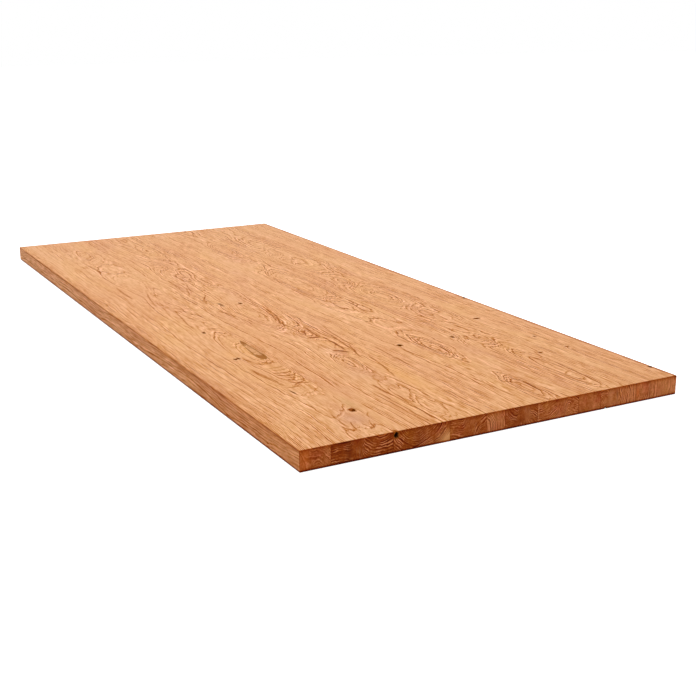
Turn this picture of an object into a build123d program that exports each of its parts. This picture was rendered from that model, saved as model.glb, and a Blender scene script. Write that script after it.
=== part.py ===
"""Solid oak table top: full-length staves, edge-glued side by side into one flat panel.

Millimetres. X runs along the grain, with the near end at +X. Y runs across the staves,
from the left long edge to the right one. Z is up, and the underside lies on Z = 0.
The origin is the middle of the underside.
"""
import os
from dataclasses import dataclass

from build123d import *

# Finished panel
panel_length = 2000.0
panel_thickness = 40.0
# The outer edges are broken by sanding, the glued joints are left sharp and closed
arris_radius = 1.5

# Widths of the staves, from the left long edge to the right one
stave_1_width = 60.0
stave_2_width = 124.0
stave_3_width = 119.0
stave_4_width = 80.0
stave_5_width = 42.0
stave_6_width = 75.0
stave_7_width = 98.0
stave_8_width = 55.0
stave_9_width = 90.0
stave_10_width = 107.0
stave_widths = [
    stave_1_width,
    stave_2_width,
    stave_3_width,
    stave_4_width,
    stave_5_width,
    stave_6_width,
    stave_7_width,
    stave_8_width,
    stave_9_width,
    stave_10_width,
]
panel_width = sum(stave_widths)

# The floor of an open knot is this share of its mouth
knot_floor_share = 0.45

# Bark pocket: a long shallow hollow in the face, blunt towards the near end and drawn out
# to a thin tail the other way. Its outline is given by points: how far each is from the
# near end, and how far from the joint on the right of its stave.
stave_with_bark_pocket = 2
bark_pocket_depth = 1.2
bark_pocket_outline = [
    (665.0, 4.0),
    (634.6, 2.5),
    (604.2, 1.6),
    (573.8, 1.7),
    (543.4, 3.9),
    (520.6, 9.4),
    (513.0, 16.0),
    (520.6, 21.4),
    (543.4, 23.3),
    (573.8, 20.7),
    (604.2, 16.0),
    (634.6, 10.3),
]

# Open knot in the end grain, just under the face
stave_with_end_knot = 3
end_knot_width = 9.5
end_knot_height = 10.5
end_knot_depth = 7.0
end_knot_from_joint = 6.0
end_knot_below_face = 7.5

# Small knot that breaks out at the lower edge of the near end
stave_with_edge_knot = 9
edge_knot_diameter = 6.0
edge_knot_depth = 5.0
edge_knot_from_joint = 14.0


@dataclass
class OpenKnot:
    """A small open knot in the upper face: where it lies, its mouth and its depth."""

    stave: int
    from_near_end: float
    # Place across the stave, from 0 at its left joint to 1 at its right joint
    across: float
    along_grain: float
    across_grain: float
    depth: float
    turn: float = 0.0


open_knots = [
    # The large knot near the end, close to the joint with the third stave
    OpenKnot(2, from_near_end=139, across=0.936, along_grain=15, across_grain=11, depth=4.5),
    # A short split
    OpenKnot(2, from_near_end=283, across=0.53, along_grain=21, across_grain=3, depth=1.2, turn=5),
    # Two pin knots side by side
    OpenKnot(2, from_near_end=542, across=0.505, along_grain=9, across_grain=4.5, depth=2.5, turn=12),
    OpenKnot(2, from_near_end=540, across=0.443, along_grain=8, across_grain=4.5, depth=2.5, turn=12),
    OpenKnot(2, from_near_end=769, across=0.60, along_grain=10, across_grain=5, depth=2),
    OpenKnot(3, from_near_end=993, across=0.72, along_grain=28, across_grain=6, depth=1.5),
    OpenKnot(4, from_near_end=984, across=0.19, along_grain=12, across_grain=6, depth=2),
    OpenKnot(6, from_near_end=460, across=0.655, along_grain=10, across_grain=8, depth=4),
    OpenKnot(8, from_near_end=460, across=0.27, along_grain=12, across_grain=6, depth=2.5, turn=-6),
    OpenKnot(9, from_near_end=264, across=0.63, along_grain=9, across_grain=7, depth=2),
    OpenKnot(10, from_near_end=567, across=0.095, along_grain=9, across_grain=13, depth=2.5),
    OpenKnot(10, from_near_end=272, across=0.43, along_grain=7, across_grain=9, depth=2),
    OpenKnot(10, from_near_end=373, across=0.33, along_grain=7, across_grain=6, depth=1.5),
    # Two knots right at the long edge
    OpenKnot(10, from_near_end=70, across=0.945, along_grain=9, across_grain=7, depth=3),
    OpenKnot(10, from_near_end=753, across=0.945, along_grain=8, across_grain=7, depth=3),
]


def left_joint(number):
    """Y of the left side of a stave, counted from 1 at the left long edge."""
    return sum(stave_widths[: number - 1]) - panel_width / 2


def knot_hollow(knot):
    """The hollow of an open knot: an oval mouth in the face that narrows to a smaller oval floor."""
    x = panel_length / 2 - knot.from_near_end
    y = left_joint(knot.stave) + knot.across * stave_widths[knot.stave - 1]
    face = Plane.XY.offset(panel_thickness)
    floor = Plane.XY.offset(panel_thickness - knot.depth)
    with BuildPart() as hollow:
        with BuildSketch(face):
            with Locations(Location((x, y), knot.turn)):
                Ellipse(knot.along_grain / 2, knot.across_grain / 2)
        with BuildSketch(floor):
            with Locations(Location((x, y), knot.turn)):
                Ellipse(knot.along_grain / 2 * knot_floor_share, knot.across_grain / 2 * knot_floor_share)
        loft()
    return hollow.part


def bark_pocket_hollow():
    """The bark pocket: a smooth closed outline, sunk into the face to one depth."""
    joint = left_joint(stave_with_bark_pocket + 1)
    points = [(panel_length / 2 - from_end, joint - from_joint) for from_end, from_joint in bark_pocket_outline]
    with BuildPart() as hollow:
        with BuildSketch(Plane.XY.offset(panel_thickness)):
            with BuildLine():
                Spline(points, periodic=True)
            make_face()
        extrude(amount=-bark_pocket_depth)
    return hollow.part


def end_knot_hollow():
    """The open knot in the end grain: an oval mouth in the near end that narrows inwards."""
    y = left_joint(stave_with_end_knot) + end_knot_from_joint
    z = panel_thickness - end_knot_below_face
    near_end = Plane(origin=(panel_length / 2, y, z), x_dir=(0, 1, 0), z_dir=(1, 0, 0))
    with BuildPart() as hollow:
        with BuildSketch(near_end):
            Ellipse(end_knot_width / 2, end_knot_height / 2)
        with BuildSketch(near_end.offset(-end_knot_depth)):
            Ellipse(end_knot_width / 2 * knot_floor_share, end_knot_height / 2 * knot_floor_share)
        loft()
    return hollow.part


def edge_knot_hollow():
    """The knot at the lower edge of the near end: a short round bore, half of it below the wood."""
    y = left_joint(stave_with_edge_knot) + edge_knot_from_joint
    near_end = Plane(origin=(panel_length / 2, y, 0), x_dir=(0, 1, 0), z_dir=(1, 0, 0))
    with BuildPart() as hollow:
        with BuildSketch(near_end):
            Circle(edge_knot_diameter / 2)
        extrude(amount=-edge_knot_depth)
    return hollow.part


# The hollows that each stave carries
hollows = {number: [] for number in range(1, len(stave_widths) + 1)}
for knot in open_knots:
    hollows[knot.stave].append(knot_hollow(knot))
hollows[stave_with_bark_pocket].append(bark_pocket_hollow())
hollows[stave_with_end_knot].append(end_knot_hollow())
hollows[stave_with_edge_knot].append(edge_knot_hollow())

# The outline that the glued panel is trimmed and sanded to
with BuildPart() as sanded_panel:
    with BuildSketch(Plane.XY):
        Rectangle(panel_length, panel_width)
    extrude(amount=panel_thickness)
    fillet(sanded_panel.edges(), radius=arris_radius)

# The staves, cut from the sanded panel at the glued joints
os.makedirs("parts", exist_ok=True)
for number, stave_width in enumerate(stave_widths, start=1):
    with BuildPart() as stave:
        with BuildSketch(Plane.XY):
            with Locations((0, left_joint(number) + stave_width / 2)):
                Rectangle(panel_length, stave_width)
        extrude(amount=panel_thickness)
        add(sanded_panel.part, mode=Mode.INTERSECT)
        for hollow_part in hollows[number]:
            add(hollow_part, mode=Mode.SUBTRACT)
    stave.part.label = f"stave_{number:02d}"
    export_step(stave.part, f"parts/{stave.part.label}.step")
    print(stave.part.label, f"{stave.part.volume / 1e6:.3f} litres")
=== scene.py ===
import math

import bpy
from mathutils import Matrix, Vector


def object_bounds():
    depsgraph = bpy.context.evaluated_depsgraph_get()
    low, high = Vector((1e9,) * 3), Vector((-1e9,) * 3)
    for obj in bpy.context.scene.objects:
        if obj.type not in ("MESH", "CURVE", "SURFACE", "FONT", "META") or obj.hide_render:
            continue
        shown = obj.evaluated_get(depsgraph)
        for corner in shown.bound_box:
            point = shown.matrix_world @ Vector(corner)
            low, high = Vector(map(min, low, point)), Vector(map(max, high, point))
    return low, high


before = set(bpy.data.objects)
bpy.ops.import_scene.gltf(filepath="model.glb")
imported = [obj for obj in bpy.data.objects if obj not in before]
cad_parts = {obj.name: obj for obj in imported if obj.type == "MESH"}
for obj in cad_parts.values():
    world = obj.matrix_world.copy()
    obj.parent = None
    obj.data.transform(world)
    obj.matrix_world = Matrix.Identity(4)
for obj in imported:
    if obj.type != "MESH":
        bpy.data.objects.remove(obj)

cad_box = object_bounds()

# The camera stands off the near end, to the left of the table top and above it, and
# looks down along the grain. Its place and turn were fitted to the corners of the panel.
camera_place = Vector((2.6062, -1.2034, 0.7441))
camera_heading = math.radians(151.493)
camera_fall = math.radians(16.389)
camera_roll = math.radians(-0.242)
focal_length_mm = 58.86
sensor_mm = 36.0

look = Vector((
    math.cos(camera_fall) * math.cos(camera_heading),
    math.cos(camera_fall) * math.sin(camera_heading),
    -math.sin(camera_fall),
))
level_right = look.cross(Vector((0, 0, 1))).normalized()
level_up = level_right.cross(look)
camera_right = math.cos(camera_roll) * level_right + math.sin(camera_roll) * level_up
camera_up = math.cos(camera_roll) * level_up - math.sin(camera_roll) * level_right

camera_data = bpy.data.cameras.new("camera")
camera_data.sensor_fit = "HORIZONTAL"
camera_data.sensor_width = sensor_mm
camera_data.lens = focal_length_mm
camera_data.clip_end = 100
camera = bpy.data.objects.new("camera", camera_data)
bpy.context.scene.collection.objects.link(camera)
camera.matrix_world = Matrix.Translation(camera_place) @ Matrix(
    (camera_right, camera_up, -look)
).transposed().to_4x4()
bpy.context.scene.camera = camera

# The staves are full-length oak boards, planed, edge-glued into one panel, sanded flat
# and oiled. Their faces show flat-sawn figure, their ends show the rings and pores.
# The rows further down give places and sizes in millimetres, and this is one in metres.
MM = 0.001


def srgb(red, green, blue):
    """A colour as it is seen, 0 to 255, in the linear values that a shader takes."""
    channels = [value / 255 for value in (red, green, blue)]
    linear = [c / 12.92 if c <= 0.04045 else ((c + 0.055) / 1.055) ** 2.4 for c in channels]
    return (*linear, 1.0)


def put(tree, kind, inputs=None, **options):
    """Adds a node, sets its options, and gives its inputs numbers or other nodes' outputs."""
    made = tree.nodes.new(kind)
    for name, value in options.items():
        setattr(made, name, value)
    for key, value in (inputs or {}).items():
        if isinstance(value, bpy.types.NodeSocket):
            tree.links.new(value, made.inputs[key])
        else:
            made.inputs[key].default_value = value
    return made


def calc(tree, operation, *values):
    """Math over numbers or outputs. Each value past the second joins what came out so far."""
    total = put(tree, "ShaderNodeMath", dict(enumerate(values[:2])), operation=operation).outputs[0]
    for value in values[2:]:
        total = put(tree, "ShaderNodeMath", {0: total, 1: value}, operation=operation).outputs[0]
    return total


def diagonal(tree, first, second):
    """How far off a place is, from how far off it is in two directions at right angles."""
    squares = [calc(tree, "POWER", value, 2.0) for value in (first, second)]
    return calc(tree, "SQRT", calc(tree, "ADD", *squares))


def join_xyz(tree, x=0.0, y=0.0, z=0.0):
    """A vector from three numbers or outputs."""
    return put(tree, "ShaderNodeCombineXYZ", {0: x, 1: y, 2: z}).outputs[0]


def split_xyz(tree, vector):
    """The three numbers of a vector, under the names X, Y and Z."""
    return put(tree, "ShaderNodeSeparateXYZ", {0: vector}).outputs


def join_vectors(tree, operation, first, second):
    """A vector made of two others."""
    return put(tree, "ShaderNodeVectorMath", {0: first, 1: second}, operation=operation).outputs[0]


def scaled(tree, vector, along_grain, across_grain, shift=0.0):
    """A position stretched along the grain: a small number along it makes long streaks."""
    return put(tree, "ShaderNodeMapping", {
        "Vector": vector,
        "Location": (shift, shift * 1.7, shift * 0.6),
        "Scale": (along_grain, across_grain, across_grain),
    }).outputs[0]


def noise(tree, vector, detail=2.0, roughness=0.5):
    """A noise value around 0.5, at the scale of the vector that it is given."""
    return put(tree, "ShaderNodeTexNoise", {
        "Vector": vector, "Scale": 1.0, "Detail": detail, "Roughness": roughness,
    }).outputs[0]


def swing(tree, vector, amount, detail=2.0):
    """A noise value that swings round 0, by about a fifth of the amount to each side."""
    return calc(tree, "MULTIPLY", calc(tree, "SUBTRACT", noise(tree, vector, detail), 0.5), amount)


def ramp(tree, value, low, high, low_result=0.0, high_result=1.0):
    """A smooth step from low_result to high_result as the value goes from low to high."""
    return put(tree, "ShaderNodeMapRange", {
        "Value": value, "From Min": low, "From Max": high, "To Min": low_result, "To Max": high_result,
    }, interpolation_type="SMOOTHSTEP").outputs[0]


def blend_value(tree, share, first, second):
    """Mixes two values."""
    return put(tree, "ShaderNodeMix", {0: share, 2: first, 3: second}).outputs[0]


def blend_colour(tree, share, first, second, kind="MIX"):
    """Mixes two colours, each a constant or an output."""
    return put(
        tree, "ShaderNodeMix", {0: share, 6: first, 7: second}, data_type="RGBA", blend_type=kind
    ).outputs[2]


def sown(tree, position, seed):
    """A position moved by a seed, so each board gets noise of its own."""
    return join_vectors(tree, "ADD", position, join_xyz(tree, seed, seed, seed))


def new_group(name, inputs, outputs):
    """An empty shader node group: its tree, and the sockets inside that it takes and gives."""
    tree = bpy.data.node_groups.new(name, "ShaderNodeTree")
    kinds = {"value": "NodeSocketFloat", "vector": "NodeSocketVector", "colour": "NodeSocketColor"}
    for label, kind in inputs:
        tree.interface.new_socket(name=label, in_out="INPUT", socket_type=kinds[kind])
    for label, kind in outputs:
        tree.interface.new_socket(name=label, in_out="OUTPUT", socket_type=kinds[kind])
    return tree, tree.nodes.new("NodeGroupInput").outputs, tree.nodes.new("NodeGroupOutput").inputs


def place_group(tree, group, inputs):
    """Puts a node group into a tree, feeds it and gives what comes out."""
    return put(tree, "ShaderNodeGroup", inputs, node_tree=group).outputs


# Wood darkens by depth of oil and dark tissue, which swallow red least and blue most. Above
# 0 the depth darkens the colour. Below 0 it lightens it, down to the palest depth, and
# there the three keep closer.
palest_depth = -0.45
deepen_group, given, result = new_group(
    "oil_depth",
    [("Colour", "colour"), ("Depth", "value"), ("Reach", "vector")],
    [("Colour", "colour")],
)
tree = deepen_group
reach = split_xyz(tree, given["Reach"])
darker = calc(tree, "MAXIMUM", given["Depth"], 0.0)
lighter = calc(tree, "MAXIMUM", calc(tree, "MINIMUM", given["Depth"], 0.0), palest_depth)
kept = []
for axis in "XYZ":
    pale_reach = calc(tree, "ADD", calc(tree, "MULTIPLY", reach[axis], 0.4), 0.5)
    swallowed = calc(
        tree, "ADD",
        calc(tree, "MULTIPLY", darker, reach[axis]), calc(tree, "MULTIPLY", lighter, pale_reach),
    )
    kept.append(calc(tree, "EXPONENT", calc(tree, "MULTIPLY", swallowed, -1.0)))
kept = put(tree, "ShaderNodeCombineColor", dict(enumerate(kept))).outputs[0]
tree.links.new(blend_colour(tree, 1.0, given["Colour"], kept, "MULTIPLY"), result["Colour"])
face_reach = (0.85, 1.7, 3.6)
end_reach = (0.92, 1.86, 4.2)


def deepened(tree, colour, depth, reach):
    """A wood colour under more (above 0) or less (below 0) oil and dark tissue."""
    return place_group(tree, deepen_group, {"Colour": colour, "Depth": depth, "Reach": reach})[0]


def off_middle(tree, place, given):
    """How far a place is off the middle of an oval, in half lengths and in half widths."""
    return (
        calc(tree, "DIVIDE", calc(tree, "SUBTRACT", place["X"], given["Along"]), given["Half Length"]),
        calc(tree, "DIVIDE", calc(tree, "SUBTRACT", place["Y"], given["Across"]), given["Half Width"]),
    )


def turned_back(tree, given):
    """The place in a group, turned back about the middle of the thing drawn there."""
    turned = put(tree, "ShaderNodeVectorRotate", {
        "Vector": given["Position"], "Center": join_xyz(tree, given["Along"], given["Across"]),
        "Angle": calc(tree, "MULTIPLY", given["Turn"], -1.0),
    }, rotation_type="Z_AXIS").outputs[0]
    return split_xyz(tree, turned)


# A bell over an oval, 1 at its middle: it raises the growth rings round a bump or a branch,
# so the sanded face cuts them in closed loops, and it bounds the soft stains.
bell_group, given, result = new_group(
    "oval_bell",
    [("Position", "vector"), ("Along", "value"), ("Across", "value"),
     ("Half Length", "value"), ("Half Width", "value"), ("Height", "value")],
    [("Height", "value")],
)
tree = bell_group
offs = off_middle(tree, split_xyz(tree, given["Position"]), given)
squares = calc(tree, "ADD", *(calc(tree, "POWER", off, 2.0) for off in offs))
bell = calc(tree, "EXPONENT", calc(tree, "MULTIPLY", squares, -1.0))
tree.links.new(calc(tree, "MULTIPLY", bell, given["Height"]), result["Height"])

# The fibres are never quite straight. Places are shifted along the grain by a value that
# changes fast across it, so ring lines that cross the grain turn into feathered zigzags.
feather_group, given, result = new_group(
    "feathered_grain",
    [("Position", "vector"), ("Seed", "value")],
    [("Position", "vector")],
)
tree = feather_group
seeded = sown(tree, given["Position"], given["Seed"])
coarse = swing(tree, scaled(tree, seeded, 6, 62), 0.050)
fine = swing(tree, scaled(tree, seeded, 24, 260), 0.028)
shift = join_xyz(tree, calc(tree, "ADD", coarse, fine))
tree.links.new(join_vectors(tree, "ADD", given["Position"], shift), result["Position"])

# How far a place is from the pith of its log. The pith wanders a little along the grain,
# and the rings round it are wavy.
radius_group, given, result = new_group(
    "pith_distance",
    [("Position", "vector"), ("Pith Across", "value"), ("Pith Height", "value"), ("Seed", "value")],
    [("Radius", "value")],
)
tree = radius_group
place = split_xyz(tree, given["Position"])
seeded = sown(tree, given["Position"], given["Seed"])
wander_far = join_xyz(tree, x=calc(tree, "MULTIPLY", place["X"], 1.7), y=given["Seed"])
wander_side = join_xyz(tree, x=calc(tree, "MULTIPLY", place["X"], 2.6), z=given["Seed"])
shift_height = swing(tree, wander_far, 0.050, 1.0)
shift_across = swing(tree, wander_side, 0.030, 1.0)
radius = diagonal(
    tree,
    calc(tree, "SUBTRACT", place["Y"], given["Pith Across"], shift_across),
    calc(tree, "SUBTRACT", place["Z"], given["Pith Height"], shift_height),
)
for along_grain, across_grain, height in ((5, 18, 0.0085), (12, 46, 0.0045), (28, 115, 0.0026)):
    wave = swing(tree, scaled(tree, seeded, along_grain, across_grain), height)
    radius = calc(tree, "ADD", radius, wave)
tree.links.new(radius, result["Radius"])

# The growth rings: shells at steps of the radius, some wide and some narrow, some strong
# and some weak. Each starts with a thin dark line of open pores, and a pale line of dense
# wood lies before the next. The slope turns ring phase into real distance on the surface.
rings_group, given, result = new_group(
    "growth_rings",
    [("Radius", "value"), ("Slope", "value"), ("Ring Width", "value"), ("Dark Width", "value"),
     ("Seed", "value")],
    [("Dark", "value"), ("Pale", "value"), ("Porous", "value"), ("Strength", "value")],
)
tree = rings_group
uneven = join_xyz(tree, x=calc(tree, "MULTIPLY", given["Radius"], 95.0), y=given["Seed"])
turns = calc(
    tree, "ADD",
    calc(tree, "DIVIDE", given["Radius"], given["Ring Width"]),
    calc(tree, "MULTIPLY", noise(tree, uneven, 1.0), 2.2),
)
phase = calc(tree, "FRACT", turns)
ring_number = calc(tree, "ADD", calc(tree, "FLOOR", turns), calc(tree, "MULTIPLY", given["Seed"], 13.0))
chance = put(tree, "ShaderNodeTexWhiteNoise", {"W": ring_number}, noise_dimensions="1D").outputs[0]
tree.links.new(chance, result["Strength"])
spread = calc(tree, "DIVIDE", given["Ring Width"], calc(tree, "MAXIMUM", given["Slope"], 0.04))
since = calc(tree, "DIVIDE", calc(tree, "MULTIPLY", phase, spread), given["Dark Width"])
phase_left = calc(tree, "SUBTRACT", 1.0, phase)
until = calc(tree, "DIVIDE", calc(tree, "MULTIPLY", phase_left, spread), given["Dark Width"])
dark = calc(
    tree, "MULTIPLY",
    ramp(tree, since, 0.0, 0.3), ramp(tree, since, 0.4, 1.8, 1.0, 0.0),
    ramp(tree, phase, 0.40, 0.75, 1.0, 0.0),
)
pale = calc(
    tree, "MULTIPLY",
    ramp(tree, until, 0.0, 0.4), ramp(tree, until, 0.8, 2.2, 1.0, 0.0),
    ramp(tree, phase, 0.30, 0.60),
)
tree.links.new(dark, result["Dark"])
tree.links.new(pale, result["Pale"])
tree.links.new(ramp(tree, phase, 0.10, 0.55, 1.0, 0.0), result["Porous"])

# Long grain: the sanded faces and long edges. Each ring starts with a dark line of open
# pores and ends in dense, plain wood. Short flecks and fine fibres run through all of it.
face_light = srgb(231, 172, 119)
face_middle = srgb(227, 164, 110)
face_pink = srgb(223, 159, 113)
face_gold = srgb(229, 170, 107)

long_group, given, result = new_group(
    "long_grain",
    [("Position", "vector"), ("Dark", "value"), ("Pale", "value"), ("Porous", "value"),
     ("Strength", "value"), ("Line Depth", "value"), ("Depth", "value"), ("Seed", "value")],
    [("Colour", "colour"), ("Relief", "value"), ("Roughness", "value"), ("Sheen", "value")],
)
tree = long_group
seeded = sown(tree, given["Position"], given["Seed"])
broken = ramp(tree, noise(tree, scaled(tree, seeded, 30, 230)), 0.38, 0.58, 0.28, 1.0)
ring_depth = ramp(tree, given["Strength"], 0.30, 0.95, 0.12, 1.0)
drawn = calc(tree, "MULTIPLY", ring_depth, given["Line Depth"])
line = calc(tree, "MULTIPLY", given["Dark"], broken, drawn)
haze = calc(tree, "MULTIPLY", given["Porous"], drawn)
gleam = calc(tree, "MULTIPLY", given["Pale"], broken, drawn)
fibres = swing(tree, scaled(tree, seeded, 70, 380), 0.34)
strands = swing(tree, scaled(tree, seeded, 6, 170), 0.26)
strands = calc(tree, "MULTIPLY", strands, ramp(tree, given["Line Depth"], 0.1, 1.3, 0.5, 1.1))
busy = ramp(tree, noise(tree, scaled(tree, seeded, 6, 22), 1.0), 0.40, 0.60, 0.6, 1.3)
busy = calc(tree, "MULTIPLY", busy, ramp(tree, given["Line Depth"], 0.1, 1.3, 0.5, 1.15))
flecks = calc(tree, "MULTIPLY", swing(tree, scaled(tree, seeded, 30, 290), 0.70, 1.0), busy)
pores = ramp(tree, noise(tree, scaled(tree, seeded, 120, 2300), 1.0), 0.60, 0.74)
pores = calc(tree, "MULTIPLY", pores, calc(tree, "ADD", calc(tree, "MULTIPLY", given["Porous"], 0.35), 0.06))
clouds = noise(tree, scaled(tree, seeded, 3.1, 9))
hues = noise(tree, scaled(tree, seeded, 4.7, 14, 3.3))
ground = blend_colour(tree, ramp(tree, clouds, 0.3, 0.7), face_middle, face_light)
ground = blend_colour(tree, ramp(tree, hues, 0.52, 0.75, 0.0, 0.6), ground, face_pink)
ground = blend_colour(tree, ramp(tree, hues, 0.46, 0.25, 0.0, 0.6), ground, face_gold)
depth = calc(
    tree, "ADD", given["Depth"], fibres, strands, flecks,
    calc(tree, "MULTIPLY", line, 0.92), calc(tree, "MULTIPLY", haze, 0.12),
    calc(tree, "MULTIPLY", gleam, -0.28), calc(tree, "MULTIPLY", pores, 0.7),
)
tree.links.new(deepened(tree, ground, depth, face_reach), result["Colour"])
sunk = calc(tree, "ADD", pores, calc(tree, "MULTIPLY", line, 0.5))
tree.links.new(calc(tree, "SUBTRACT", calc(tree, "MULTIPLY", fibres, 0.6), sunk), result["Relief"])
tree.links.new(ramp(tree, line, 0.0, 1.0, 0.50, 0.68), result["Roughness"])
tree.links.new(ramp(tree, depth, -0.10, 0.45, 1.0, 0.1), result["Sheen"])

# End grain: the sawn and sanded ends drink more oil and turn much darker and redder. Each
# ring starts with a row of large open pores, and fine pale rays cross the rings.
end_ground = srgb(196, 111, 58)
end_gold = srgb(204, 124, 62)
end_red = srgb(192, 99, 52)

end_group, given, result = new_group(
    "end_grain",
    [("Position", "vector"), ("Dark", "value"), ("Pale", "value"), ("Porous", "value"),
     ("Strength", "value"), ("Line Depth", "value"), ("Depth", "value"), ("Seed", "value"),
     ("Pith Across", "value"), ("Pith Height", "value")],
    [("Colour", "colour"), ("Relief", "value"), ("Roughness", "value")],
)
tree = end_group
place = split_xyz(tree, given["Position"])
seeded = sown(tree, given["Position"], given["Seed"])
ring_depth = ramp(tree, given["Strength"], 0.0, 0.9, 0.2, 1.0)
patchy = ramp(tree, noise(tree, scaled(tree, seeded, 20, 48)), 0.38, 0.60, 0.15, 1.0)
drawn = calc(tree, "MULTIPLY", patchy, ring_depth, given["Line Depth"])
line = calc(tree, "MULTIPLY", given["Dark"], drawn)
gleam = calc(tree, "MULTIPLY", given["Pale"], drawn)
angle = calc(
    tree, "ARCTAN2",
    calc(tree, "SUBTRACT", place["Z"], given["Pith Height"]),
    calc(tree, "SUBTRACT", place["Y"], given["Pith Across"]),
)
round_pith = join_xyz(tree, x=calc(tree, "MULTIPLY", angle, 95.0), y=given["Seed"])
rays = ramp(tree, noise(tree, round_pith, 2.0, 0.7), 0.60, 0.72)
pores = ramp(tree, noise(tree, scaled(tree, seeded, 60, 1200), 1.0), 0.56, 0.70)
pores = calc(tree, "MULTIPLY", pores, calc(tree, "ADD", calc(tree, "MULTIPLY", given["Porous"], 0.4), 0.10))
mottles = swing(tree, scaled(tree, seeded, 30, 120), 1.1, 3.0)
specks = swing(tree, scaled(tree, seeded, 60, 330), 0.8, 1.0)
clouds = swing(tree, scaled(tree, seeded, 9, 24), 0.9, 3.0)
hues = noise(tree, scaled(tree, seeded, 9, 34, 4.1))
ground = blend_colour(tree, ramp(tree, hues, 0.52, 0.72), end_ground, end_red)
ground = blend_colour(tree, ramp(tree, hues, 0.48, 0.28), ground, end_gold)
depth = calc(
    tree, "ADD", given["Depth"], clouds, mottles, specks,
    calc(tree, "MULTIPLY", line, 0.70), calc(tree, "MULTIPLY", gleam, -0.62),
    calc(tree, "MULTIPLY", rays, -0.08), pores,
)
tree.links.new(deepened(tree, ground, depth, end_reach), result["Colour"])
tree.links.new(calc(tree, "MULTIPLY", calc(tree, "ADD", pores, line), -1.0), result["Relief"])
tree.links.new(ramp(tree, line, 0.0, 1.0, 0.62, 0.76), result["Roughness"])

# An open knot: a nearly black hollow, partly the knot's dark wood and partly painted shade of the recess, a
# dark brown rim, and a paler lip of dense wood.
knot_group, given, result = new_group(
    "open_knot",
    [("Position", "vector"), ("Along", "value"), ("Across", "value"),
     ("Half Length", "value"), ("Half Width", "value"), ("Turn", "value")],
    [("Hollow", "value"), ("Rim", "value"), ("Lip", "value")],
)
tree = knot_group
off = diagonal(tree, *off_middle(tree, turned_back(tree, given), given))
off = calc(tree, "ADD", off, swing(tree, scaled(tree, given["Position"], 130, 260), 1.6))
tree.links.new(ramp(tree, off, 0.85, 1.45, 1.0, 0.0), result["Hollow"])
tree.links.new(ramp(tree, off, 1.25, 2.10, 1.0, 0.0), result["Rim"])
lip = calc(tree, "MULTIPLY", ramp(tree, off, 1.6, 2.2), ramp(tree, off, 2.4, 3.2, 1.0, 0.0))
tree.links.new(lip, result["Lip"])

# A single dark streak in the face: slender, a little bent, wavering, and fading at its ends.
streak_group, given, result = new_group(
    "dark_streak",
    [("Position", "vector"), ("Along", "value"), ("Across", "value"), ("Turn", "value"),
     ("Half Length", "value"), ("Half Width", "value"), ("Bend", "value"), ("Waver", "value"),
     ("Depth", "value")],
    [("Streak", "value")],
)
tree = streak_group
place = turned_back(tree, given)
lengthwise = calc(tree, "DIVIDE", calc(tree, "SUBTRACT", place["X"], given["Along"]), given["Half Length"])
square = calc(tree, "POWER", lengthwise, 2.0)
bow = calc(tree, "MULTIPLY", square, given["Bend"])
aside = calc(tree, "SUBTRACT", calc(tree, "ADD", place["Y"], given["Waver"]), given["Across"], bow)
fade = ramp(tree, square, 0.35, 1.0, 1.0, 0.0)
widthwise = calc(tree, "DIVIDE", aside, given["Half Width"])
core = calc(tree, "EXPONENT", calc(tree, "MULTIPLY", calc(tree, "POWER", widthwise, 2.0), -1.0))
tree.links.new(calc(tree, "MULTIPLY", core, fade, given["Depth"]), result["Streak"])

# The bark pocket: blunt towards the near end and drawn out to a thin tail, dark at both
# ends and along its borders, with crumbly pale bark in the middle.
bark_group, given, result = new_group(
    "bark_pocket",
    [("Position", "vector"), ("Along", "value"), ("Across", "value"),
     ("Half Length", "value"), ("Half Width", "value")],
    [("Inside", "value"), ("Dark", "value"), ("Crumbs", "value")],
)
tree = bark_group
place = split_xyz(tree, given["Position"])
# From -1 at the blunt tip near the end to 1 at the thin tail, which slants to the right
tailwards = calc(tree, "DIVIDE", calc(tree, "SUBTRACT", given["Along"], place["X"]), given["Half Length"])
middle = calc(tree, "ADD", given["Across"], calc(tree, "MULTIPLY", tailwards, 0.004))
taper = calc(tree, "SUBTRACT", 1.0, calc(tree, "MULTIPLY", tailwards, 0.4))
half_width = calc(tree, "MULTIPLY", given["Half Width"], taper)
sideways = calc(tree, "DIVIDE", calc(tree, "SUBTRACT", place["Y"], middle), half_width)
off = calc(tree, "ADD", calc(tree, "POWER", tailwards, 4.0), calc(tree, "POWER", sideways, 2.0))
off = calc(
    tree, "ADD", calc(tree, "SQRT", off), swing(tree, scaled(tree, given["Position"], 60, 260), 0.4)
)
tree.links.new(ramp(tree, off, 0.92, 1.12, 1.0, 0.0), result["Inside"])
frayed = calc(tree, "ADD", tailwards, swing(tree, scaled(tree, given["Position"], 40, 160), 0.6))
dark = calc(
    tree, "MAXIMUM",
    ramp(tree, frayed, -0.35, -0.60), ramp(tree, frayed, 0.45, 0.75, 0.0, 0.9),
    ramp(tree, sideways, -0.45, -0.80), ramp(tree, sideways, 0.45, 0.85, 0.0, 0.6),
)
tree.links.new(dark, result["Dark"])
crumbs = noise(tree, scaled(tree, given["Position"], 90, 260), 3.0, 0.7)
tree.links.new(ramp(tree, crumbs, 0.42, 0.62), result["Crumbs"])

panel_low, panel_high = (Vector(corner) for corner in cad_box)
near_end = panel_high.x
far_end = panel_low.x
left_edge = panel_low.y
right_edge = panel_high.y
upper_face = panel_high.z


def across(from_left_edge):
    """Y of a place, given in mm from the left long edge."""
    return left_edge + from_left_edge * MM


def on_face(from_near_end, from_left_edge):
    """A place on the face, in mm from the near end and from the left long edge."""
    return near_end - from_near_end * MM, across(from_left_edge)


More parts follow.
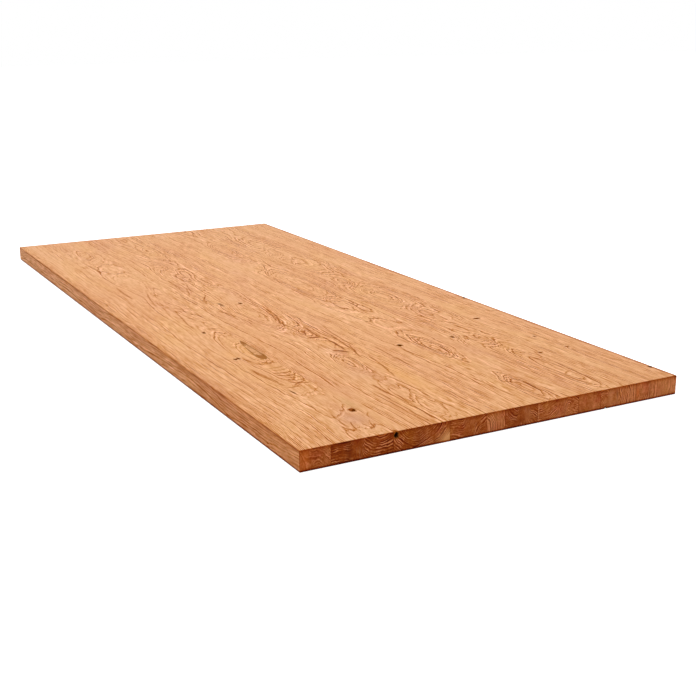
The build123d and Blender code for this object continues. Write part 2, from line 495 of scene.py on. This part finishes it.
def on_end(height, from_left_edge):
    """A place on the near end, in mm above the underside and from the left long edge."""
    return height * MM, across(from_left_edge)


def oval(position, middle, half_length, half_width):
    """What a group takes to place an oval. The middle is in metres, the half sizes in mm."""
    return {
        "Position": position, "Along": middle[0], "Across": middle[1],
        "Half Length": half_length * MM, "Half Width": half_width * MM,
    }


# One row for each board that the staves were ripped from: where its pith ran (mm from the
# left edge, mm above the underside), the ring width in mm, the swellings in its rings, and
# where its figure stands out (above 0) or fades (below 0). Both lists give mm from the near
# end, mm from the left edge, half length, half width, and how much.
boards = {
    "first": dict(pith=(150, -48), ring=2.7, swellings=[
        (545, 172, 165, 44, -34), (78, 150, 52, 26, 15), (139, 178, 30, 16, 8),
        (1126, 169, 70, 18, 12), (930, 165, 110, 26, 9), (1533, 150, 110, 28, 18),
        (1750, 140, 120, 30, -14), (230, 150, 60, 22, 6),
    ], figure=[
        (400, 160, 110, 34, 0.2), (70, 150, 60, 34, 0.25), (300, 30, 160, 30, 0.4), (90, 35, 110, 30, -0.2),
        (200, 91, 240, 4, 0.5), (600, 110, 110, 26, -0.4), (600, 35, 160, 26, 0.2),
        (1126, 169, 80, 25, 0.4), (930, 165, 110, 34, 0.4), (1533, 150, 110, 28, 0.5),
    ]),
    "second": dict(pith=(318, -60), ring=2.7, swellings=[
        (88, 318, 60, 16, 12), (401, 312, 62, 22, -15), (658, 334, 58, 19, 17),
        (476, 346, 44, 16, 10), (860, 300, 130, 30, -14), (993, 270, 30, 12, 6),
        (1254, 331, 70, 16, 12), (1510, 295, 90, 26, 16), (1713, 334, 90, 22, -14),
    ], figure=[
        (90, 275, 130, 20, 0.35), (100, 335, 110, 28, -0.35), (590, 368, 160, 22, 0.6),
        (660, 334, 70, 22, 0.5), (840, 350, 150, 26, 0.8), (520, 240, 250, 36, -0.6),
        (430, 385, 60, 18, -0.5), (210, 215, 120, 20, -0.3), (400, 312, 60, 26, 0.4),
        (1254, 331, 80, 24, 0.5), (1510, 295, 90, 28, 0.5), (1713, 334, 90, 24, 0.5),
    ]),
    "third": dict(pith=(545, -52), ring=2.7, swellings=[
        (395, 530, 95, 24, -17), (100, 540, 80, 24, -16), (846, 537, 85, 22, 16),
        (461, 474, 22, 12, 6), (1120, 545, 150, 30, -16), (1379, 533, 90, 22, 15),
        (640, 540, 90, 24, 10), (1640, 540, 100, 24, -14),
    ], figure=[
        (120, 535, 120, 30, 0.25), (400, 530, 120, 28, 0.4), (300, 470, 260, 24, 0.5),
        (440, 415, 180, 16, 0.6), (640, 535, 120, 28, 0.4), (850, 537, 110, 26, 0.5),
        (1120, 545, 150, 30, 0.3), (1379, 533, 90, 24, 0.5), (150, 410, 180, 22, 0.3),
    ]),
    "fourth": dict(pith=(672, -50), ring=2.7, swellings=[
        (160, 668, 120, 24, -17), (412, 662, 66, 20, 15), (680, 675, 100, 24, 15),
        (461, 613, 24, 10, 5), (1065, 663, 90, 22, 15), (264, 710, 24, 12, 5),
        (1407, 640, 80, 18, -12), (1529, 663, 70, 18, 13), (880, 672, 90, 24, -14),
    ], figure=[
        (150, 668, 140, 34, 0.25), (412, 661, 110, 28, 0.6), (650, 665, 130, 30, 0.5),
        (1065, 663, 120, 28, 0.5), (880, 672, 100, 26, 0.4), (1480, 655, 140, 26, 0.4),
    ]),
    "fifth": dict(pith=(960, -30), ring=2.7, swellings=[
        (567, 753, 24, 14, 6), (272, 789, 16, 10, 3),
    ], figure=[(300, 780, 300, 20, 0.2), (650, 820, 260, 16, 0.3)]),
}


def grown_board(name, board, seed):
    """The rings of one board, and how clearly its figure shows from place to place."""
    tree, given, result = new_group(
        f"board_{name}", [("Position", "vector")], [("Radius", "value"), ("Figure", "value")]
    )
    position = given["Position"]
    feathered = place_group(tree, feather_group, {"Position": position, "Seed": seed})[0]
    pith_across, pith_height = board["pith"]
    radius = place_group(tree, radius_group, {
        "Position": feathered, "Pith Across": across(pith_across), "Pith Height": pith_height * MM,
        "Seed": seed,
    })[0]
    wide_noise = noise(tree, scaled(tree, sown(tree, position, seed), 4.5, 17, 7.7))
    figure = ramp(tree, wide_noise, 0.36, 0.60, 0.5, 1.15)
    for mm_along, mm_across, half_length, half_width, rise in board["swellings"]:
        bump = oval(feathered, on_face(mm_along, mm_across), half_length, half_width)
        radius = calc(tree, "ADD", radius, place_group(tree, bell_group, {**bump, "Height": rise * MM})[0])
    for mm_along, mm_across, half_length, half_width, more in board["figure"]:
        spot = oval(position, on_face(mm_along, mm_across), half_length, half_width)
        figure = calc(tree, "ADD", figure, place_group(tree, bell_group, {**spot, "Height": more})[0])
    tree.links.new(radius, result["Radius"])
    tree.links.new(calc(tree, "MAXIMUM", figure, 0.1), result["Figure"])
    return tree


board_seeds = {name: 1.0 + 2.7 * index for index, name in enumerate(boards)}
board_groups = {name: grown_board(name, board, board_seeds[name]) for name, board in boards.items()}

# One row for each stave: its board, the oil depth of its face and how strongly its rings
# show there, then the same for its near end, with the ring width in mm and the two places
# where the rings of the end centre, on the left and on the right of a turning point.
staves = {
    "stave_01": dict(board="first", face=0.03, lines=1.00, end=0.11, end_lines=0.6, end_ring=3.4,
                     end_piths=[(-110, 0), (-50, -60)], turning=24),
    "stave_02": dict(board="first", face=0.05, lines=0.93, end=0.47, end_lines=1.5, end_ring=4.6,
                     end_piths=[(70, -90), (160, 62)], turning=112),
    "stave_03": dict(board="second", face=0.05, lines=1.00, end=0.29, end_lines=1.5, end_ring=4.0,
                     end_piths=[(242, 52), (242, 60)], turning=240),
    "stave_04": dict(board="second", face=0.06, lines=1.05, end=0.23, end_lines=1.0, end_ring=4.2,
                     end_piths=[(300, -90), (393, -6)], turning=345),
    "stave_05": dict(board="third", face=0.03, lines=1.10, end=0.08, end_lines=1.7, end_ring=4.8,
                     end_piths=[(335, -8), (335, -8)], turning=400),
    "stave_06": dict(board="third", face=0.03, lines=1.05, end=0.26, end_lines=1.7, end_ring=4.0,
                     end_piths=[(458, 40), (440, -70)], turning=468),
    "stave_07": dict(board="third", face=0.06, lines=1.05, end=0.05, end_lines=1.3, end_ring=3.6,
                     end_piths=[(500, 90), (650, 160)], turning=560),
    "stave_08": dict(board="fourth", face=0.05, lines=0.90, end=0.00, end_lines=0.1, end_ring=3.6,
                     end_piths=[(560, 200), (560, -30)], turning=636),
    "stave_09": dict(board="fourth", face=0.06, lines=0.90, end=0.01, end_lines=2.3, end_ring=4.2,
                     end_piths=[(666, 14), (600, 0)], turning=684),
    "stave_10": dict(board="fifth", face=0.01, lines=0.95, end=-0.04, end_lines=0.9, end_ring=4.6,
                     end_piths=[(700, 20), (700, 20)], turning=800),
}

# Single dark streaks in the faces, each drawn by itself: mm from the near end, mm from the
# left edge, turn in degrees, half length, half width, bend in mm, and how deep it is.
# The second stave has 28 of them. Its material takes hardly more: with 30 it turns black.
dark_streaks = [
    (56, 170, -12, 22, 1.5, 3, 0.66), (50, 160, 20, 16, 1.3, 2, 0.47), (62, 137, -14, 26, 1.5, 3, 0.66),
    (52, 122, 22, 18, 1.6, 3, 0.76), (92, 186, -20, 26, 1.3, 4, 0.47), (100, 128, -4, 40, 1.3, 3, 0.42),
    (385, 118, 7, 70, 1.5, 4, 0.57), (483, 165, 70, 26, 3.0, 4, 0.42), (330, 162, -58, 22, 2.0, 3, 0.66),
    (655, 354, -5, 50, 2.2, 0, 1.00), (545, 356, -3, 66, 2.4, -2, 1.10), (488, 335, 62, 14, 3.0, 2, 0.95),
    (610, 340, 78, 16, 3.0, 0, 0.66), (655, 336, -24, 26, 1.8, 2, 0.85), (740, 327, 4, 30, 2.2, 3, 0.70),
    (560, 376, -6, 130, 1.6, -5, 0.76), (600, 390, -5, 100, 1.3, 2, 0.57),
    (470, 366, -14, 60, 1.5, 2, 0.57), (350, 365, -10, 90, 1.8, -3, 0.66), (210, 283, 0, 45, 2.2, 1, 0.95),
    (100, 288, -3, 90, 1.4, 3, 0.66), (100, 269, 0, 120, 1.4, 1, 0.66), (100, 260, 1, 110, 1.3, 1, 0.57),
    (920, 243, 14, 26, 2.4, 4, 0.60), (1254, 331, 3, 50, 2.2, 4, 0.60), (330, 463, 0, 170, 1.5, 1, 0.61),
    (90, 485, 2, 130, 1.5, 1, 0.53), (400, 418, -1, 90, 1.5, 1, 0.53), (90, 553, -4, 40, 1.8, 2, 0.95),
    (130, 532, 40, 22, 2.6, 2, 0.66), (290, 532, 12, 14, 3.0, 0, 0.76), (380, 543, -6, 34, 1.8, -2, 0.76),
    (430, 517, 4, 60, 1.6, -3, 0.57), (205, 673, -2, 40, 2.0, 1, 0.66), (110, 688, -4, 90, 1.8, -2, 0.72),
    (90, 655, 8, 60, 1.8, 2, 0.66), (125, 668, -60, 14, 2.5, 1, 0.57), (430, 655, -20, 30, 2.2, 4, 0.76),
    (255, 696, -16, 26, 2.0, 1, 0.57), (567, 752, 75, 12, 2.0, 1, 0.57), (610, 832, 62, 16, 1.8, 0, 0.57),
    (694, 812, 62, 14, 1.8, 0, 0.66), (478, 160, 96, 26, 3.6, 16, 0.55), (443, 164, 88, 20, 2.4, 8, 0.35),
    (424, 166, 90, 20, 2.4, 8, 0.40), (404, 164, 86, 24, 2.8, 8, 0.75), (385, 164, 82, 24, 2.6, 10, 0.75),
    (368, 166, 70, 20, 2.2, 8, 0.55), (351, 164, 64, 20, 2.4, 8, 0.55), (330, 164, 62, 26, 3.0, 8, 0.75),
    (312, 146, 110, 20, 2.4, 10, 0.60), (1172, 163, 97, 16, 2.8, -6, 0.55),
    (1005, 162, 45, 19, 2.4, 3, 0.45), (977, 159, 48, 20, 2.2, 3, 0.45), (898, 159, 45, 20, 2.4, 3, 0.50),
    (792, 166, 75, 18, 2.4, -6, 0.55), (900, 133, -7, 110, 1.5, 3, 0.60), (1130, 132, -9, 80, 1.6, 3, 0.60),
    (1230, 93, -1, 80, 2.2, 2, 0.60), (1080, 260, -25, 50, 1.5, -3, 0.55),
    (1062, 254, -22, 40, 1.4, -3, 0.45), (1036, 247, -20, 20, 1.8, 0, 0.60),
    (882, 254, -4, 20, 2.0, 0, 0.50), (812, 263, -3, 30, 1.5, 0, 0.45), (808, 271, -3, 28, 1.4, 0, 0.40),
    (1240, 240, -4, 90, 1.6, 2, 0.50), (1200, 262, -12, 60, 1.5, 2, 0.45),
    (1165, 247, -14, 50, 1.5, 0, 0.45), (845, 342, -9, 115, 2.0, 3, 0.60), (870, 353, -8, 90, 1.6, 2, 0.50),
    (820, 333, -9, 80, 1.6, 2, 0.50), (145, 183, 0, 9, 4.0, 0, 0.80), (397, 121, 7, 70, 2.0, 1, 0.60),
    (505, 138, 17, 34, 2.4, 1, 0.45), (354, 184, -25, 20, 2.0, 0, 0.70), (484, 340, 38, 22, 3.2, 0, 1.00),
    (608, 338, 80, 17, 3.6, 2, 0.90), (660, 334, -10, 18, 4.0, 0, 0.70),
]

# The dark of the open knots, laid over the hollows in the faces as dark knot wood and painted shade: stave,
# mm from the near end, mm from the left edge, half length, half width, turn in degrees, and how dark it is.
open_knots = [
    (2, 136, 176.1, 6.0, 4.5, 0, 1.0),
    (2, 283, 125.7, 10.5, 1.5, 5, 0.6),
    (2, 542, 122.6, 4.5, 2.25, 12, 1.0),
    (2, 540, 114.9, 4.0, 2.25, 12, 1.0),
    (2, 769, 134.4, 5.0, 2.5, 0, 0.8),
    (3, 993, 269.7, 14.0, 3.0, 0, 0.5),
    (4, 984, 318.2, 6.0, 3.0, 0, 1.0),
    (6, 460, 474.1, 5.0, 4.0, 0, 1.0),
    (8, 460, 612.9, 6.0, 3.0, -6, 0.9),
    (9, 264, 709.7, 4.5, 3.5, 0, 0.42),
    (10, 567, 753.2, 4.0, 6.0, 0, 0.7),
    (10, 272, 789.0, 3.5, 4.5, 0, 0.35),
    (10, 373, 778.3, 3.5, 3.0, 0, 0.5),
    (10, 70, 844.1, 4.5, 3.5, 0, 1.0),
    (10, 753, 844.1, 4.4, 3.8, 0, 1.0),
]
# The nearly black knot cores, in the faces and in the end, are partly dark knot wood and partly painted shade
# of the hollows
knot_black_and_shade = srgb(80, 32, 2)
knot_brown = srgb(168, 90, 24)
knot_lip = srgb(244, 190, 142)
end_knot_black_and_shade = srgb(34, 12, 4)

# The bark pocket in the second stave: mm from the near end, mm from the left edge, half
# length, half width
bark_stave = 2
bark_pocket = (588, 176, 76, 9.5)
bark_dark = srgb(170, 109, 58)
bark_middle = srgb(202, 145, 96)
bark_crumb = srgb(226, 172, 124)

# The open knots in the near end: stave, mm above the underside, mm from the left edge,
# half height, half width
end_knots = [(3, 33.5, 190, 5.0, 4.0), (9, 0, 667, 3, 3)]

# Soft stains in the faces: mm from the near end, mm from the left edge, half length, half
# width, colour, and how much of it.
stain_green = srgb(206, 158, 100)
stain_mauve = srgb(196, 132, 100)
stain_gold = srgb(236, 172, 96)
stains = [
    (172, 188, 34, 11, stain_green, 0.8), (92, 156, 36, 26, stain_mauve, 1.0),
    (590, 160, 80, 16, stain_gold, 0.5), (575, 118, 30, 12, stain_gold, 0.7),
    (265, 366, 120, 18, stain_gold, 0.9), (330, 300, 50, 40, stain_mauve, 0.4),
    (490, 330, 50, 22, stain_mauve, 0.5), (560, 345, 60, 20, stain_gold, 0.4),
]

# The same in the near end: mm above the underside, mm from the left edge, half height,
# half width, colour, and how much of it.
end_sapwood = srgb(255, 184, 118)
end_shadow = srgb(126, 54, 18)
end_pale = srgb(230, 152, 96)
end_orange = srgb(226, 112, 40)
end_stains = [
    (2, 302, 15, 17, end_sapwood, 1.6), (20, 95, 30, 7, end_shadow, 0.7), (22, 240, 24, 17, end_shadow, 0.45),
    (20, 502, 40, 2.0, end_pale, 0.6), (20, 479, 16, 9, end_pale, 0.35), (20, 748, 9, 3.5, end_orange, 0.7),
    (20, 778, 40, 2.2, end_shadow, 0.6), (20, 404, 40, 22, end_pale, 0.35), (20, 825, 40, 40, end_pale, 0.35),
    (16, 678, 30, 5, end_pale, 0.6), (26, 695, 8, 4, end_shadow, 0.6), (20, 10, 40, 10, end_orange, 0.6),
    (20, 445, 30, 20, end_shadow, 0.3), (14, 665, 5, 5, end_pale, 0.5), (18, 728, 30, 14, end_pale, 0.3),
]

# The long edges are painted darker and warmer than the sanded faces, most of all near the end
edge_tint_near = (0.96, 0.78, 0.61, 1.0)
edge_tint_far = (1.02, 0.94, 0.92, 1.0)
edge_tint_length = 1.3

# How far below the face, and how far behind the near end, the colours of a hollow reach,
# in metres: they are full up to the first depth and gone at the second.
face_hollow_depths = (0.006, 0.008)
end_hollow_depths = (0.008, 0.009)


def ring_slope(tree, board_group, position, normal, radius):
    """How fast the ring radius grows over the surface, from one small step each way on it."""
    step = 0.0006
    sideways = join_vectors(tree, "CROSS_PRODUCT", normal, (step, 0, 0))
    rises = []
    for move in ((step, 0, 0), sideways):
        stepped = join_vectors(tree, "ADD", position, move)
        stepped_radius = place_group(tree, board_group, {"Position": stepped})["Radius"]
        rises.append(calc(tree, "SUBTRACT", stepped_radius, radius))
    return calc(tree, "DIVIDE", diagonal(tree, *rises), step)


def ring_parts(rings):
    """The parts of the growth rings that both kinds of grain are made of."""
    return {part: rings[part] for part in ("Dark", "Pale", "Porous", "Strength")}


def face_grain(tree, stave, position, normal, is_edge):
    """Long grain, with the rings of the board that the stave was ripped from."""
    seed = board_seeds[stave["board"]]
    board_group = board_groups[stave["board"]]
    grown = place_group(tree, board_group, {"Position": position})
    rings = place_group(tree, rings_group, {
        "Radius": grown["Radius"],
        "Slope": ring_slope(tree, board_group, position, normal, grown["Radius"]),
        "Ring Width": boards[stave["board"]]["ring"] * MM, "Dark Width": 2.0 * MM, "Seed": seed,
    })
    clearness = ramp(tree, is_edge, 0.0, 1.0, stave["lines"], 0.65)
    return place_group(tree, long_group, {
        "Position": position, **ring_parts(rings), "Depth": stave["face"], "Seed": seed,
        "Line Depth": calc(tree, "MULTIPLY", grown["Figure"], clearness),
    })


def end_grain(tree, stave, seed, position, place):
    """End grain, with rings round two piths that swing over from one to the other."""
    crinkled = position
    for size, amount in ((45, 0.006), (130, 0.004)):
        crinkles = put(tree, "ShaderNodeTexNoise", {"Vector": position, "Scale": size, "Detail": 1.0})
        drift = join_vectors(tree, "SUBTRACT", crinkles.outputs["Color"], (0.5, 0.5, 0.5))
        drift = put(tree, "ShaderNodeVectorMath", {0: drift, "Scale": amount}, operation="SCALE").outputs[0]
        crinkled = join_vectors(tree, "ADD", crinkled, drift)
    distances = [
        place_group(tree, radius_group, {
            "Position": crinkled, "Pith Across": across(mm_across), "Pith Height": mm_up * MM, "Seed": seed,
        })[0]
        for mm_across, mm_up in stave["end_piths"]
    ]
    turning = across(stave["turning"])
    half_swing = 0.016
    turned = ramp(tree, place["Y"], turning - half_swing, turning + half_swing)
    rings = place_group(tree, rings_group, {
        "Radius": blend_value(tree, turned, *distances), "Slope": 1.0,
        "Ring Width": stave["end_ring"] * MM, "Dark Width": 1.5 * MM, "Seed": seed,
    })
    pith_across, pith_height = stave["end_piths"][0]
    return place_group(tree, end_group, {
        "Position": position, **ring_parts(rings), "Line Depth": stave["end_lines"],
        "Depth": stave["end"], "Seed": seed,
        "Pith Across": across(pith_across), "Pith Height": pith_height * MM,
    })


def stained(tree, colour, spot, share, strength, stain):
    """A colour with a soft stain on an oval spot of it."""
    spread = place_group(tree, bell_group, {**spot, "Height": share})[0]
    return blend_colour(tree, spread, colour, blend_colour(tree, strength, colour, stain))


def streak_depth(tree, position, left_joint, right_joint):
    """How deep the single dark streaks in one stave are, grainy as the wood is."""
    waver = swing(tree, scaled(tree, position, 32, 60), 0.007)
    drawn = 0.0
    for mm_along, mm_across, turn, half_length, half_width, bend, depth in dark_streaks:
        if left_joint < across(mm_across) < right_joint:
            streak = place_group(tree, streak_group, {
                **oval(position, on_face(mm_along, mm_across), half_length, half_width),
                "Turn": math.radians(turn), "Bend": bend * MM, "Waver": waver, "Depth": depth,
            })[0]
            drawn = calc(tree, "ADD", streak, drawn)
    grainy = ramp(tree, noise(tree, scaled(tree, position, 70, 300)), 0.30, 0.60, 0.35, 1.1)
    return calc(tree, "MULTIPLY", drawn, grainy)


def arris_darkening_and_shade(tree, place, facing):
    """How much darker the rounded arrises are painted than the faces.

    The lower arris gets painted shade, standing in for the shade it lies in just over the floor. The upper
    arrises and the tops of the upright sides are painted darker too. How far a place is from an arris is the
    larger of its distances from the two faces that meet there. The far and the right arrises are the darkest
    of the upper ones.
    """
    from_near_sides = calc(
        tree, "MINIMUM",
        calc(tree, "SUBTRACT", near_end, place["X"]), calc(tree, "SUBTRACT", place["Y"], left_edge),
    )
    from_far_sides = calc(
        tree, "MINIMUM",
        calc(tree, "SUBTRACT", place["X"], far_end), calc(tree, "SUBTRACT", right_edge, place["Y"]),
    )
    from_top = calc(tree, "SUBTRACT", upper_face, place["Z"])
    near_arris = calc(tree, "MAXIMUM", from_near_sides, from_top)
    far_arris = calc(tree, "MAXIMUM", from_far_sides, from_top)
    lower_arris = calc(tree, "MAXIMUM", calc(tree, "MINIMUM", from_near_sides, from_far_sides), place["Z"])
    upright_side = ramp(tree, facing["Z"], 0.5, 0.9, 1.0, 0.0)
    under_top = calc(tree, "MULTIPLY", upright_side, ramp(tree, from_top, 0.0015, 0.0090, 0.26, 0.0))
    return calc(
        tree, "ADD", under_top,
        ramp(tree, near_arris, 0.0006, 0.0036, 0.34, 0.0),
        ramp(tree, far_arris, 0.0010, 0.0100, 0.70, 0.0),
        # Painted shade along the lower arris
        ramp(tree, lower_arris, 0.0014, 0.0052, 1.5, 0.0),
    )


def barked(tree, colour, sheen, position, in_upper_face):
    """A colour and its sheen with the bark pocket laid over them."""
    mm_along, mm_across, half_length, half_width = bark_pocket
    spot = oval(position, on_face(mm_along, mm_across), half_length, half_width)
    bark = place_group(tree, bark_group, spot)
    bark_colour = blend_colour(tree, bark["Crumbs"], bark_middle, bark_crumb)
    bark_colour = blend_colour(tree, bark["Dark"], bark_colour, bark_dark)
    in_bark = calc(tree, "MULTIPLY", bark["Inside"], in_upper_face)
    dull = calc(tree, "MULTIPLY", sheen, calc(tree, "SUBTRACT", 1.0, in_bark))
    return blend_colour(tree, in_bark, colour, bark_colour), dull


def knotted(tree, colour, sheen, spot, turn, darkness, lip=0.35, hollow=knot_black_and_shade):
    """A colour and its sheen with an open knot laid over them."""
    knot = place_group(tree, knot_group, {**spot, "Turn": turn})
    layers = (("Lip", lip, knot_lip), ("Rim", 0.8, knot_brown), ("Hollow", 1.0, hollow))
    for part, share, knot_colour in layers:
        cover = calc(tree, "MULTIPLY", knot[part], share, darkness)
        colour = blend_colour(tree, cover, colour, knot_colour)
    shine_left = calc(tree, "SUBTRACT", 1.0, calc(tree, "MULTIPLY", knot["Rim"], darkness))
    return colour, calc(tree, "MULTIPLY", sheen, shine_left)


def oiled_oak(name, number, stave):
    """The finish of one stave: long grain on its faces and edges, end grain on its two ends."""
    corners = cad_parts[name].bound_box
    left_joint, right_joint = corners[0][1], corners[6][1]
    material = bpy.data.materials.new(f"oiled_oak_{name}")
    material.use_nodes = True
    tree = material.node_tree
    tree.nodes.clear()
    position = put(tree, "ShaderNodeTexCoord").outputs["Object"]
    place = split_xyz(tree, position)
    normal = put(tree, "ShaderNodeNewGeometry").outputs["Normal"]
    facing = split_xyz(tree, normal)
    is_end = ramp(tree, calc(tree, "ABSOLUTE", facing["X"]), 0.25, 0.60)
    is_edge = ramp(tree, calc(tree, "ABSOLUTE", facing["Y"]), 0.20, 0.60)

    face = face_grain(tree, stave, position, normal, is_edge)
    face_colour = face["Colour"]
    for mm_along, mm_across, half_length, half_width, stain, share in stains:
        beside = 2 * half_width * MM
        if left_joint - beside < across(mm_across) < right_joint + beside:
            spot = oval(position, on_face(mm_along, mm_across), half_length, half_width)
            face_colour = stained(tree, face_colour, spot, share, 0.5, stain)
    on_top = ramp(tree, facing["Z"], 0.5, 0.9)
    drawn = calc(tree, "MULTIPLY", streak_depth(tree, position, left_joint, right_joint), on_top)
    face_colour = deepened(tree, face_colour, drawn, face_reach)
    # Open pores and dark tissue do not shine
    sheen = calc(tree, "MULTIPLY", face["Sheen"], ramp(tree, drawn, 0.0, 0.5, 1.0, 0.3))

    end_seed = 20.0 + 1.3 * number
    end = end_grain(tree, stave, end_seed, position, place)
    end_colour = end["Colour"]
    # On the end the height above the underside takes the place of X
    upright = join_xyz(tree, place["Z"], place["Y"])
    for mm_up, mm_across, half_height, half_width, stain, share in end_stains:
        if left_joint < across(mm_across) < right_joint:
            spot = oval(upright, on_end(mm_up, mm_across), half_height, half_width)
            end_colour = stained(tree, end_colour, spot, share, 0.75, stain)
    from_joint = calc(
        tree, "MINIMUM",
        calc(tree, "SUBTRACT", place["Y"], left_joint), calc(tree, "SUBTRACT", right_joint, place["Y"]),
    )
    glue = ramp(tree, from_joint, 0.0002, 0.0009, 0.55, 0.0)
    end_colour = deepened(tree, end_colour, glue, end_reach)

    farther = ramp(tree, place["X"], near_end, near_end - edge_tint_length, 0.15, 1.0)
    edge_tint = blend_colour(tree, farther, edge_tint_near, edge_tint_far)
    dashes = calc(
        tree, "ADD",
        swing(tree, scaled(tree, position, 26, 150), 0.9),
        swing(tree, scaled(tree, position, 90, 420), 0.4),
    )
    edge_colour = blend_colour(tree, 1.0, face_colour, edge_tint, "MULTIPLY")
    edge_colour = deepened(tree, edge_colour, dashes, face_reach)
    colour = blend_colour(tree, is_edge, face_colour, edge_colour)
    colour = blend_colour(tree, is_end, colour, end_colour)
    # Painted shade on the lower arrises, and darker upper arrises
    colour = deepened(tree, colour, arris_darkening_and_shade(tree, place, facing), face_reach)

    # The hollows are dark all over, walls too, with painted shade in the knot cores, so they come after the
    # split into faces and ends
    full, gone = face_hollow_depths
    in_upper_face = ramp(tree, place["Z"], upper_face - gone, upper_face - full)
    if number == bark_stave:
        colour, sheen = barked(tree, colour, sheen, position, in_upper_face)
    for knot_stave, mm_along, mm_across, half_length, half_width, turn, darkness in open_knots:
        if knot_stave == number:
            spot = oval(position, on_face(mm_along, mm_across), half_length, half_width)
            cover = calc(tree, "MULTIPLY", in_upper_face, darkness)
            colour, sheen = knotted(tree, colour, sheen, spot, math.radians(turn), cover)
    full, gone = end_hollow_depths
    in_near_end = ramp(tree, place["X"], near_end - gone, near_end - full)
    # The end knots' nearly black cores are painted shade as well as dark knot wood
    for knot_stave, mm_up, mm_across, half_height, half_width in end_knots:
        if knot_stave == number:
            spot = oval(upright, on_end(mm_up, mm_across), half_height, half_width)
            colour, sheen = knotted(
                tree, colour, sheen, spot, 0.0, in_near_end, lip=0.0, hollow=end_knot_black_and_shade
            )

    relief = blend_value(tree, is_end, face["Relief"], end["Relief"])
    bump = put(tree, "ShaderNodeBump", {"Height": relief, "Strength": 0.25, "Distance": 0.0004})
    gloss = ramp(tree, is_end, 0.0, 1.0, 0.15, 0.06)
    shader = put(tree, "ShaderNodeBsdfPrincipled", {
        "Base Color": colour, "Normal": bump.outputs[0],
        "Roughness": blend_value(tree, is_end, face["Roughness"], end["Roughness"]),
        "Specular IOR Level": calc(tree, "MULTIPLY", sheen, gloss),
    })
    put(tree, "ShaderNodeOutputMaterial", {"Surface": shader.outputs[0]})
    return material


for number, (name, stave) in enumerate(staves.items(), start=1):
    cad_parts[name].material_slots[0].material = oiled_oak(name, number, stave)

# The floor is a wide pale sheet under the table top. It is plain white to the camera, apart
# from the soft shadow under the table top.
floor_size = 30.0
floor_gap = 0.0005
bpy.ops.mesh.primitive_plane_add(size=floor_size, location=(0, 0, panel_low.z - floor_gap))
floor = bpy.context.object
floor.name = "floor"
floor_material = bpy.data.materials.new("pale_floor")
floor_material.use_nodes = True
tree = floor_material.node_tree
tree.nodes.clear()
matt = put(tree, "ShaderNodeBsdfDiffuse", {"Color": (0.80, 0.80, 0.80, 1)})
glow = put(tree, "ShaderNodeEmission", {"Color": (1, 1, 1, 1), "Strength": 0.82})
both = put(tree, "ShaderNodeAddShader", {0: matt.outputs[0], 1: glow.outputs[0]})
seen = put(tree, "ShaderNodeLightPath").outputs["Is Camera Ray"]
chosen = put(tree, "ShaderNodeMixShader", {0: seen, 1: matt.outputs[0], 2: both.outputs[0]})
put(tree, "ShaderNodeOutputMaterial", {"Surface": chosen.outputs[0]})
floor.data.materials.append(floor_material)

# Soft studio light: an even white room, brighter low down behind the table top, where a
# backdrop gives the far part of the face its sheen, and one wide lamp high above.
world = bpy.data.worlds.new("studio")
bpy.context.scene.world = world
world.use_nodes = True
tree = world.node_tree
tree.nodes.clear()
direction = put(tree, "ShaderNodeTexCoord").outputs["Generated"]
backdrop_direction = (-0.88, 0.48, 0.0)
backwards = put(tree, "ShaderNodeVectorMath", {
    0: direction, 1: backdrop_direction,
}, operation="DOT_PRODUCT").outputs["Value"]
low = ramp(tree, split_xyz(tree, direction)["Z"], 0.10, 0.50, 1.0, 0.0)
backdrop = calc(tree, "MULTIPLY", ramp(tree, backwards, 0.60, 0.90), low)
brightness = ramp(tree, backdrop, 0.0, 1.0, 0.46, 1.9)
room = put(tree, "ShaderNodeBackground", {"Color": (1, 1, 1, 1), "Strength": brightness})
white = put(tree, "ShaderNodeBackground", {"Color": (1, 1, 1, 1), "Strength": 1.0})
seen = put(tree, "ShaderNodeLightPath").outputs["Is Camera Ray"]
chosen = put(tree, "ShaderNodeMixShader", {0: seen, 1: room.outputs[0], 2: white.outputs[0]})
put(tree, "ShaderNodeOutputWorld", {"Surface": chosen.outputs[0]})

lamp_data = bpy.data.lights.new("overhead_lamp", "AREA")
lamp_data.shape = "RECTANGLE"
lamp_data.size = 5.0
lamp_data.size_y = 3.5
lamp_data.energy = 95
lamp = bpy.data.objects.new("overhead_lamp", lamp_data)
bpy.context.scene.collection.objects.link(lamp)
lamp_height = 3.2
lamp.location = (-0.3, -0.2, lamp_height)

bpy.context.scene.view_settings.view_transform = "Standard"
